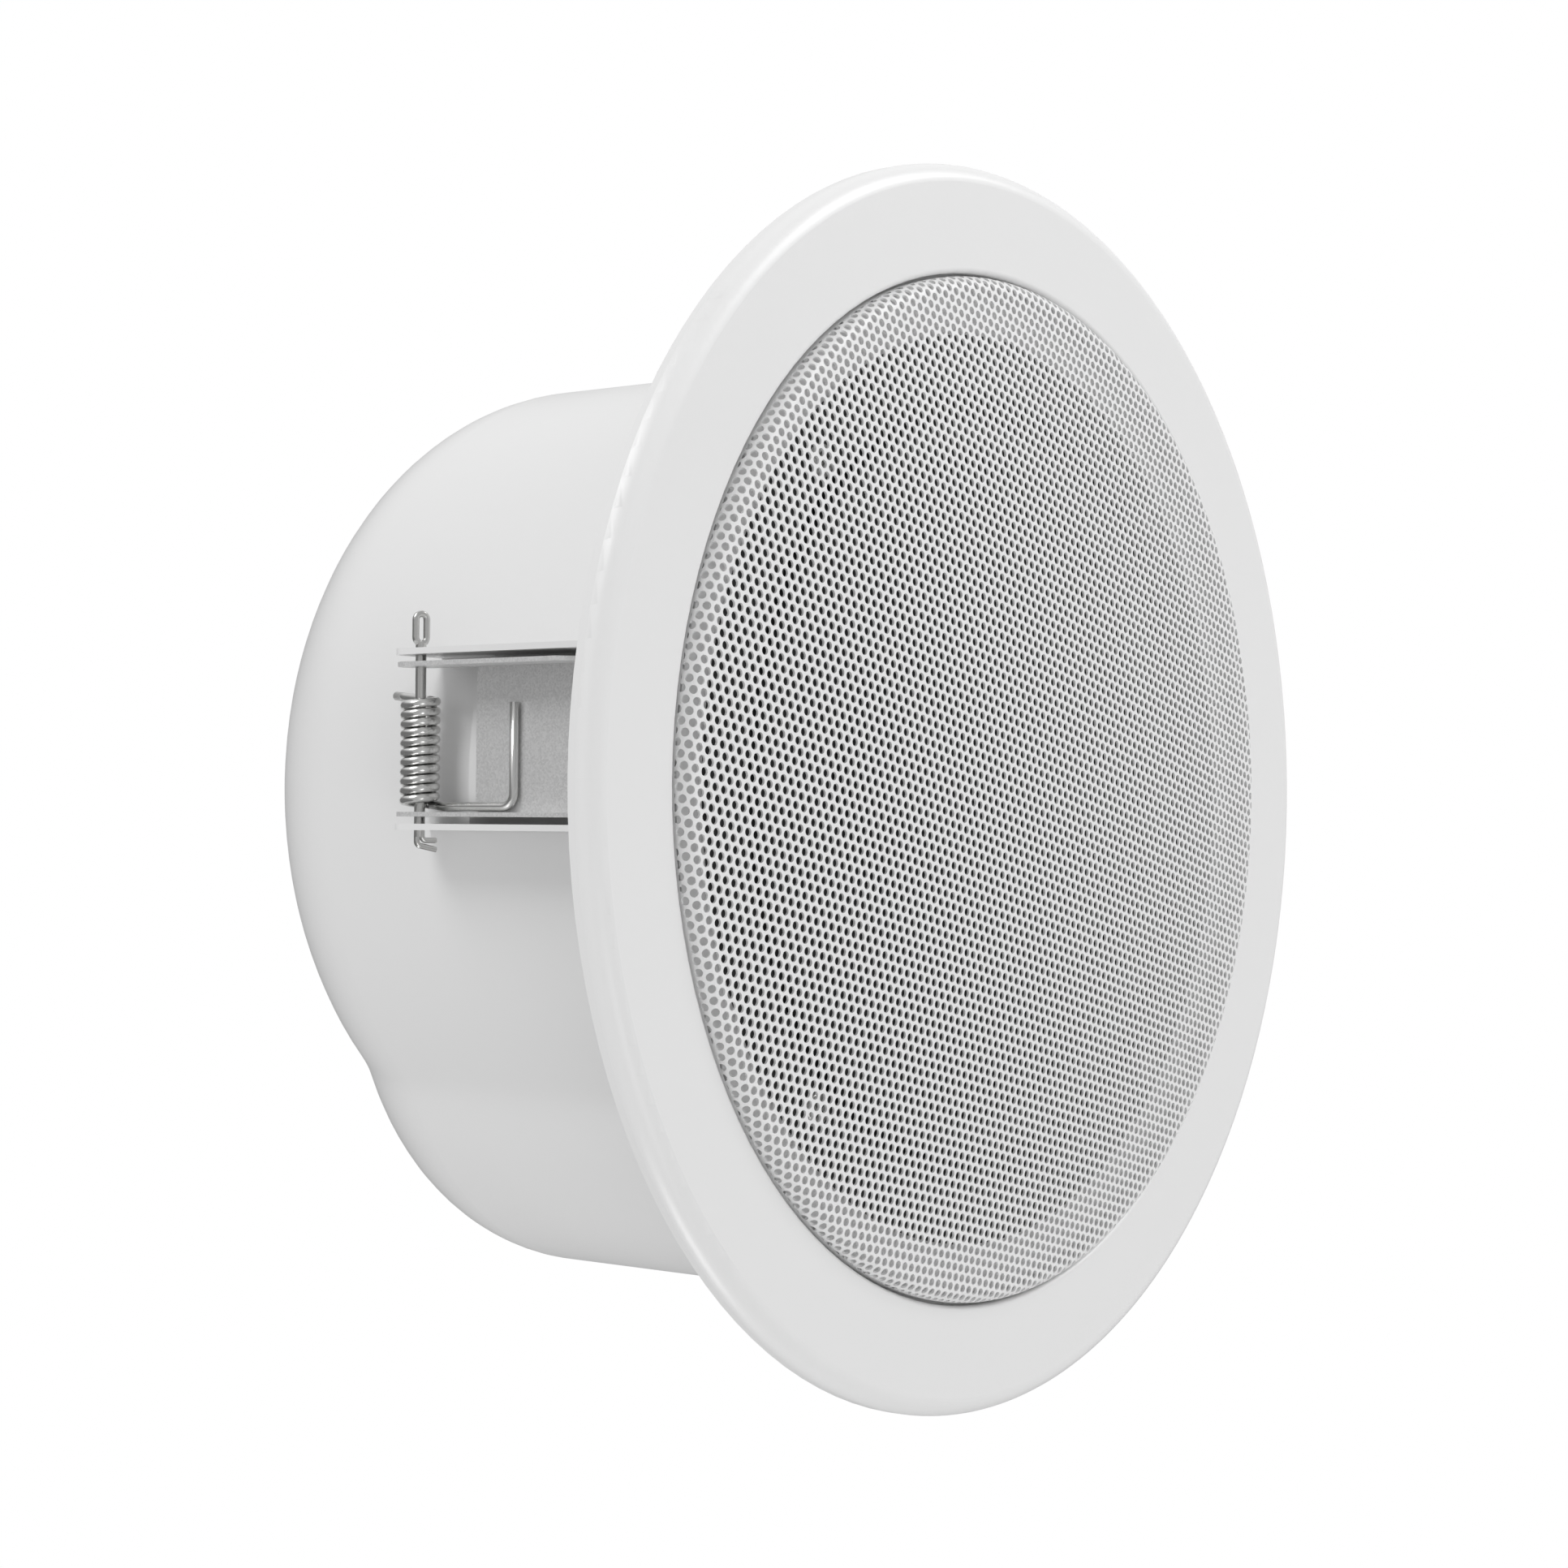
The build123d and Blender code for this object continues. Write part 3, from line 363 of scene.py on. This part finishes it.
link(dome, math_node(dome, "MULTIPLY", row_height, rows - 1.0), grid.inputs["Size Y"])
where = nodes.new("GeometryNodeInputPosition")
parts = nodes.new("ShaderNodeSeparateXYZ")
link(dome, where.outputs[0], parts.inputs[0])
row = math_node(dome, "ROUND", math_node(dome, "DIVIDE", parts.outputs["Y"], row_height))
odd = math_node(dome, "FLOORED_MODULO", row, 2.0)
shift = math_node(dome, "MULTIPLY", math_node(dome, "MULTIPLY", odd, 0.5), pitch)
offset = nodes.new("ShaderNodeCombineXYZ")
link(dome, shift, offset.inputs["X"])
stagger = nodes.new("GeometryNodeSetPosition")
link(dome, grid.outputs["Mesh"], stagger.inputs["Geometry"])
link(dome, offset.outputs[0], stagger.inputs["Offset"])
turn = nodes.new("ShaderNodeVectorRotate")
turn.rotation_type = "Z_AXIS"
turn.inputs["Angle"].default_value = ROW_TURN
link(dome, where.outputs[0], turn.inputs["Vector"])
turned = nodes.new("GeometryNodeSetPosition")
link(dome, stagger.outputs[0], turned.inputs["Geometry"])
link(dome, turn.outputs[0], turned.inputs["Position"])

# keep one quarter's points whose cell reaches the disc
length = nodes.new("ShaderNodeVectorMath")
length.operation = "LENGTH"
link(dome, where.outputs[0], length.inputs[0])
cell_reach = math_node(dome, "MULTIPLY", pitch, CELL_REACH)
reach = math_node(dome, "ADD", into.outputs["Sheet Radius"], cell_reach)
far = math_node(dome, "GREATER_THAN", length.outputs["Value"], reach)
halves = []
for axis in ("X", "Y"):
    nudged = math_node(dome, "ADD", parts.outputs[axis], NUDGE)
    halves.append(math_node(dome, "MULTIPLY", nudged, into.outputs[f"Side {axis}"]))
outside = math_node(dome, "LESS_THAN", math_node(dome, "MINIMUM", *halves), 0.0)
drop = nodes.new("GeometryNodeDeleteGeometry")
link(dome, turned.outputs[0], drop.inputs["Geometry"])
link(dome, math_node(dome, "MAXIMUM", far, outside), drop.inputs["Selection"])

# a cell on every point
info = nodes.new("GeometryNodeObjectInfo")
link(dome, into.outputs["Cell"], info.inputs["Object"])
place = nodes.new("GeometryNodeInstanceOnPoints")
link(dome, drop.outputs[0], place.inputs["Points"])
link(dome, info.outputs["Geometry"], place.inputs["Instance"])
place.inputs["Rotation"].default_value = (0.0, 0.0, ROW_TURN)
real = nodes.new("GeometryNodeRealizeInstances")
link(dome, place.outputs[0], real.inputs[0])

# how far along the sheet a vertex lies: on the sphere up to the disc, then on the round
flat_x = math_node(dome, "MULTIPLY", parts.outputs["X"], parts.outputs["X"])
flat_y = math_node(dome, "MULTIPLY", parts.outputs["Y"], parts.outputs["Y"])
distance = math_node(dome, "SQRT", math_node(dome, "ADD", flat_x, flat_y))
radius = math_node(dome, "MAXIMUM", distance, NUDGE)
sphere, edge_round = into.outputs["Sphere Radius"], into.outputs["Edge Round"]
inner_r = math_node(dome, "MINIMUM", radius, into.outputs["Disc Radius"])
held_r = math_node(dome, "MINIMUM", radius, into.outputs["Sheet Radius"])
along = math_node(dome, "SUBTRACT", held_r, inner_r)
slope_in = math_node(dome, "ARCSINE", math_node(dome, "DIVIDE", inner_r, sphere))
slope_here = math_node(dome, "ADD", slope_in, math_node(dome, "DIVIDE", along, edge_round))
sine, cosine = math_node(dome, "SINE", slope_here), math_node(dome, "COSINE", slope_here)
sine_in, cosine_in = math_node(dome, "SINE", slope_in), math_node(dome, "COSINE", slope_in)

# where that point is in space, with the cell's thickness set off along the sheet's normal
thick = parts.outputs["Z"]
out_r = math_node(
    dome, "SUBTRACT",
    math_node(
        dome, "MULTIPLY_ADD", math_node(dome, "SUBTRACT", sine, sine_in), edge_round, inner_r
    ),
    math_node(dome, "MULTIPLY", thick, sine),
)
fall = math_node(dome, "SUBTRACT", sphere, math_node(dome, "MULTIPLY", sphere, cosine_in))
cosine_drop = math_node(dome, "SUBTRACT", cosine_in, cosine)
on_round = math_node(dome, "MULTIPLY_ADD", cosine_drop, edge_round, fall)
lift = math_node(
    dome, "ADD", into.outputs["Apex Z"],
    math_node(dome, "MULTIPLY_ADD", thick, cosine, on_round),
)
shrink = math_node(dome, "DIVIDE", out_r, radius)
landed = nodes.new("ShaderNodeCombineXYZ")
link(dome, math_node(dome, "MULTIPLY", parts.outputs["X"], shrink), landed.inputs["X"])
link(dome, math_node(dome, "MULTIPLY", parts.outputs["Y"], shrink), landed.inputs["Y"])
link(dome, lift, landed.inputs["Z"])
bend = nodes.new("GeometryNodeSetPosition")
link(dome, real.outputs[0], bend.inputs["Geometry"])
link(dome, landed.outputs[0], bend.inputs["Position"])
coat = nodes.new("GeometryNodeSetMaterial")
link(dome, bend.outputs[0], coat.inputs["Geometry"])
link(dome, into.outputs["Material"], coat.inputs["Material"])
link(dome, coat.outputs[0], out.inputs["Geometry"])
print("dome group:", len(nodes), "nodes,", rows, "rows,", columns, "columns")

# %% Run the group once for each quarter and keep plain meshes
def run_group(group, name, values):
    """Evaluates a Geometry Nodes group on an empty mesh and returns a plain mesh object."""
    holder = bpy.data.objects.new(name, bpy.data.meshes.new(name))
    bpy.context.scene.collection.objects.link(holder)
    modifier = holder.modifiers.new("nodes", "NODES")
    modifier.node_group = group
    identifiers = {
        item.name: item.identifier
        for item in group.interface.items_tree
        if item.item_type == "SOCKET" and item.in_out == "INPUT"
    }
    for label, value in values.items():
        modifier[identifiers[label]] = value
    holder.update_tag()
    depsgraph = bpy.context.evaluated_depsgraph_get()
    made = bpy.data.meshes.new_from_object(holder.evaluated_get(depsgraph))
    holder.modifiers.remove(modifier)
    holder.data = made
    return holder


quarters = []
for side_x, side_y in ((1.0, 1.0), (-1.0, 1.0), (-1.0, -1.0), (1.0, -1.0)):
    quarter = run_group(
        dome,
        f"grille_sheet_{len(quarters) + 1}",
        {
            "Pitch": PITCH, "Disc Radius": DISC_R, "Sphere Radius": SPHERE_R, "Apex Z": APEX_Z,
            "Edge Round": EDGE_ROUND, "Sheet Radius": SHEET_R,
            "Side X": side_x, "Side Y": side_y,
            "Cell": cell, "Material": materials["painted_grille"],
        },
    )
    quarters.append(quarter)
bpy.data.objects.remove(cell)
print("dome quarters:", [len(q.data.polygons) for q in quarters])

# %% [markdown]
# ## The grille's skirt
#
# The perforation ends on the sheet's rounded edge. Behind it a short plain skirt reaches to
# just short of the ring's seat. A lathe does this best: a short profile is turned about the axis.

# %% A lathe helper and the skirt
SKIRT_STEPS = 360


def lathe(name, profile, steps, material):
    """Turns a closed profile of (r, z) points about the Z axis."""
    verts, faces = [], []
    count = len(profile)
    for i in range(steps):
        angle = 2 * math.pi * i / steps
        verts += [(r * math.cos(angle), r * math.sin(angle), z) for r, z in profile]
        for j in range(count):
            k = (j + 1) % count
            n = (i + 1) % steps
            faces.append((i * count + j, n * count + j, n * count + k, i * count + k))
    mesh = bpy.data.meshes.new(name)
    mesh.from_pydata(verts, [], faces)
    mesh.update()
    mesh.materials.append(material)
    shape = bpy.data.objects.new(name, mesh)
    bpy.context.scene.collection.objects.link(shape)
    return shape


skirt_top = dome_z(DISC_R) + EDGE_ROUND * math.cos(EDGE_SLOPE)
skirt_profile = [
    (SKIRT_R, skirt_top), (SKIRT_R, SKIRT_END_Z),
    (SKIRT_R - SHEET, SKIRT_END_Z), (SKIRT_R - SHEET, skirt_top),
]
grille_skirt = lathe("grille_skirt", skirt_profile, SKIRT_STEPS, materials["painted_grille"])
for piece in quarters + [grille_skirt]:
    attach(piece, "housing")
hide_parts("grille")
print("skirt height:", round((SKIRT_END_Z - skirt_top) / MM, 2), "mm")

# %% [markdown]
# ## Torsion springs
#
# Each clamp has a torsion spring of drawn wire: a coil round the pin, a short leg that
# leans towards the can and a long leg that presses on the lever. When the lever swings, the
# coil winds up. The coil is made as one mesh that is attached to neither body, and each
# leg rides on its own body. The wire is a tube drawn along a list of points.

# %% Sizes of the springs, in metres
HINGE = Vector((87.5, 7.5, 59.2)) * MM
COIL_R = 2.75 * MM
COIL_PITCH = 1.66 * MM
COIL_TURNS = 11
COIL_BASE_Y = -3.9 * MM
COIL_TOP_Y = COIL_BASE_Y + COIL_TURNS * COIL_PITCH
WIRE_R = 0.8 * MM
LEG_X = HINGE.x - COIL_R
LEAN = COIL_PITCH / (2 * math.pi * COIL_R)
LONG_LEG_Z = 39.4 * MM
LONG_LEG_RISE = 18.0 * MM
LONG_LEG_KINK = 3.0 * MM
SHORT_LEG_ANGLE = math.radians(15.0)
LEG_BEND_R = 2.4 * MM
CAN_R = 81.5 * MM
CAN_CLEARANCE = 0.15 * MM


# %% A helper that draws a wire along points
ARC_STEPS = 8
WIRE_SIDES = 10


def rounded(corner_a, corner, corner_b, radius, steps=ARC_STEPS):
    """Points of an arc that rounds a corner between two straight legs."""
    a = (corner_a - corner).normalized()
    b = (corner_b - corner).normalized()
    half = a.angle(b) / 2
    centre = corner + (a + b).normalized() * (radius / math.sin(half))
    start = corner + a * (radius / math.tan(half))
    axis = a.cross(b).normalized()
    sweep = math.pi - 2 * half
    return [
        centre + Matrix.Rotation(-sweep * i / steps, 3, axis) @ (start - centre)
        for i in range(steps + 1)
    ]


def wire_mesh(name, points, radius, material, sides=WIRE_SIDES, side_x=1.0):
    """A closed tube of the given radius along the points. side_x -1 mirrors it to the left."""
    points = [Vector((p.x * side_x, p.y, p.z)) for p in points]
    verts, faces = [], []
    normal = None
    for i, point in enumerate(points):
        ahead = points[min(i + 1, len(points) - 1)] - points[max(i - 1, 0)]
        tangent = ahead.normalized()
        if normal is None:
            normal = tangent.orthogonal().normalized()
        normal = (normal - tangent * normal.dot(tangent)).normalized()
        binormal = tangent.cross(normal)
        for k in range(sides):
            angle = 2 * math.pi * k / sides
            verts.append(point + (normal * math.cos(angle) + binormal * math.sin(angle)) * radius)
        if i:
            for k in range(sides):
                m = (k + 1) % sides
                a, b = (i - 1) * sides, i * sides
                faces.append((a + k, a + m, b + m, b + k))
    faces.append(tuple(reversed(range(sides))))
    faces.append(tuple(range(len(verts) - sides, len(verts))))
    mesh = bpy.data.meshes.new(name)
    mesh.from_pydata(verts, [], faces)
    mesh.update()
    mesh.materials.append(material)
    shape = bpy.data.objects.new(name, mesh)
    bpy.context.scene.collection.objects.link(shape)
    mesh.shade_smooth()
    return shape


# %% The coil and its two legs, right and left
STEPS_PER_TURN = 24
SHORT_LEG_STEPS = 4
coil_points = []
steps = COIL_TURNS * STEPS_PER_TURN
for i in range(steps + 1):
    swept = (2 * math.pi * COIL_TURNS - SHORT_LEG_ANGLE) * i / steps
    angle = SHORT_LEG_ANGLE + swept
    y = COIL_TOP_Y - COIL_PITCH * swept / (2 * math.pi)
    coil_points.append(
        Vector((HINGE.x - COIL_R * math.cos(angle), y, HINGE.z - COIL_R * math.sin(angle)))
    )
kink_y = COIL_BASE_Y - LEAN * LONG_LEG_KINK
long_corners = [
    coil_points[-1],
    Vector((LEG_X, kink_y, HINGE.z - LONG_LEG_KINK)),
    Vector((LEG_X, kink_y, LONG_LEG_Z)),
    Vector((LEG_X, kink_y + LONG_LEG_RISE, LONG_LEG_Z)),
]
long_points = [
    long_corners[0],
    *rounded(*long_corners[:3], LEG_BEND_R),
    *rounded(*long_corners[1:], LEG_BEND_R),
    long_corners[3],
]
rest_x = math.sqrt(CAN_R**2 - (COIL_TOP_Y - 2 * WIRE_R) ** 2) + WIRE_R + CAN_CLEARANCE
short_start = coil_points[0]
short_length = (short_start.x - rest_x) / math.sin(SHORT_LEG_ANGLE)
short_way = Vector((-math.sin(SHORT_LEG_ANGLE), LEAN, math.cos(SHORT_LEG_ANGLE)))
short_points = [
    short_start + short_way * short_length * i / SHORT_LEG_STEPS
    for i in range(SHORT_LEG_STEPS + 1)
]
for side, side_x in (("right", 1.0), ("left", -1.0)):
    lever = f"clamp_lever_{side}"
    steel = materials["spring_steel"]
    coil = wire_mesh(f"spring_coil_{side}", coil_points, WIRE_R, steel, side_x=side_x)
    long_leg = wire_mesh(f"spring_long_leg_{side}", long_points, WIRE_R, steel, side_x=side_x)
    short_leg = wire_mesh(f"spring_short_leg_{side}", short_points, WIRE_R, steel, side_x=side_x)
    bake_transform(coil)
    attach(long_leg, lever)
    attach(short_leg, "housing")
    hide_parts(f"torsion_spring_{side}")
print("springs: 2, each of one coil and two legs")

# %% [markdown]
# ## Camera
#
# The ring's ellipse and the can's outline say that the photo is an off-centre crop. A
# shifted lens would match it and spoil the other views, so this camera isn't shifted and
# only comes near: about half a metre away, below the ceiling plane and to the right.

# %% The camera
camera_data = bpy.data.cameras.new("camera")
camera_data.lens = 66.342
camera_data.sensor_width = 36.0
camera_data.clip_start = 0.01
camera = bpy.data.objects.new("camera", camera_data)
bpy.context.scene.collection.objects.link(camera)
right = Vector((-0.6091, 0.00814, -0.79306))
up = Vector((0.01672, 0.99986, -0.00257))
back = Vector((0.79292, -0.01482, -0.60914))
turned = Matrix((right, up, back)).transposed().to_4x4()
turned.translation = Vector((0.44992, -0.00727, -0.29966))
camera.matrix_world = turned
bpy.context.scene.camera = camera
print("camera at", [round(v, 3) for v in camera.location])

# %% [markdown]
# ## Light and surroundings
#
# The photo is a catalogue picture: a white ground and soft light from nearly everywhere.
# White paint shows its form only where it turns away from the light, so an even sky isn't
# enough and four soft boxes add to it. Their powers were solved so that the greys of ring,
# can and grille come near the photo's. Bright metal mirrors a studio of its own, bright
# above and towards the room, dark behind and below.

# %% A pale sky that the camera sees as white
SKY_WHITE = (1.0, 1.0, 1.0, 1.0)
LIT_STRENGTH = 0.57
world = bpy.data.worlds.new("studio")
bpy.context.scene.world = world
world.use_nodes = True
tree = world.node_tree
tree.nodes.clear()
out_node = tree.nodes.new("ShaderNodeOutputWorld")
mix = tree.nodes.new("ShaderNodeMixShader")
path = tree.nodes.new("ShaderNodeLightPath")
seen = tree.nodes.new("ShaderNodeBackground")
seen.inputs["Color"].default_value = SKY_WHITE
seen.inputs["Strength"].default_value = 1.0
lit = tree.nodes.new("ShaderNodeBackground")
lit.inputs["Color"].default_value = SKY_WHITE
lit.inputs["Strength"].default_value = LIT_STRENGTH
tree.links.new(path.outputs["Is Camera Ray"], mix.inputs["Fac"])
tree.links.new(seen.outputs[0], mix.inputs[2])
print("world:", world.name)

# %% What bright metal mirrors: light from above and from the room, dark behind and below
STUDIO_SLANT = (0.0, 0.85, -0.45)
STUDIO_RANGE = {"From Min": -0.30, "From Max": 0.35, "To Min": 0.20, "To Max": 0.92}
direction = tree.nodes.new("ShaderNodeTexCoord")
slant = tree.nodes.new("ShaderNodeVectorMath")
slant.operation = "DOT_PRODUCT"
slant.inputs[1].default_value = STUDIO_SLANT
shade = tree.nodes.new("ShaderNodeMapRange")
shade.interpolation_type = "SMOOTHSTEP"
for label, value in STUDIO_RANGE.items():
    shade.inputs[label].default_value = value
mirrored = tree.nodes.new("ShaderNodeBackground")
mirrored.inputs["Color"].default_value = SKY_WHITE
mirror_mix = tree.nodes.new("ShaderNodeMixShader")
tree.links.new(direction.outputs["Generated"], slant.inputs[0])
tree.links.new(slant.outputs["Value"], shade.inputs["Value"])
tree.links.new(shade.outputs["Result"], mirrored.inputs["Strength"])
tree.links.new(path.outputs["Is Glossy Ray"], mirror_mix.inputs["Fac"])
tree.links.new(lit.outputs[0], mirror_mix.inputs[1])
tree.links.new(mirrored.outputs[0], mirror_mix.inputs[2])
tree.links.new(mirror_mix.outputs[0], mix.inputs[1])
tree.links.new(mix.outputs[0], out_node.inputs["Surface"])
print("world nodes:", len(tree.nodes))

# %% Soft boxes: name, place and size in metres, power in watts
SOFT_BOXES = (
    ("key", (0.9, 0.9, 0.2), 0.5, 6.3),
    ("front_top", (-0.7, 0.8, -0.7), 0.6, 7.2),
    ("front_low", (0.4, -0.6, -1.1), 0.8, 4.6),
    ("below", (0.3, -1.1, 0.1), 0.4, 2.8),
)
LIT_POINT = (0.0, 0.0, 0.04)


def soft_box(name, place, target, size, power):
    """A square area light at place that faces target, both in metres."""
    lamp = bpy.data.lights.new(name, "AREA")
    lamp.size = size
    lamp.energy = power
    holder = bpy.data.objects.new(name, lamp)
    bpy.context.scene.collection.objects.link(holder)
    holder.location = place
    aim = (Vector(target) - Vector(place)).to_track_quat("-Z", "Y")
    holder.rotation_euler = aim.to_euler()


for name, place, size, power in SOFT_BOXES:
    soft_box(name, place, LIT_POINT, size, power)

# %% A pale floor far below, and the picture's settings
FLOOR_HALF = 30.0
FLOOR_Z = -1.2
PICTURE_SIDE = 1932
floor_corners = [
    (x * FLOOR_HALF, y * FLOOR_HALF, FLOOR_Z) for x, y in ((-1, -1), (1, -1), (1, 1), (-1, 1))
]
floor_mesh = bpy.data.meshes.new("floor")
floor_mesh.from_pydata(floor_corners, [], [(0, 1, 2, 3)])
floor = bpy.data.objects.new("floor", floor_mesh)
bpy.context.scene.collection.objects.link(floor)
pale, shader = finish("floor_pale", (0.85, 0.85, 0.85), 0.9)
floor.data.materials.append(pale)
scene = bpy.context.scene
scene.render.engine = "CYCLES"
scene.view_settings.view_transform = "Standard"
scene.render.resolution_x = PICTURE_SIDE
scene.render.resolution_y = PICTURE_SIDE
print("picture:", scene.render.resolution_x, "x", scene.render.resolution_y)

# %% The end
print("scene built")
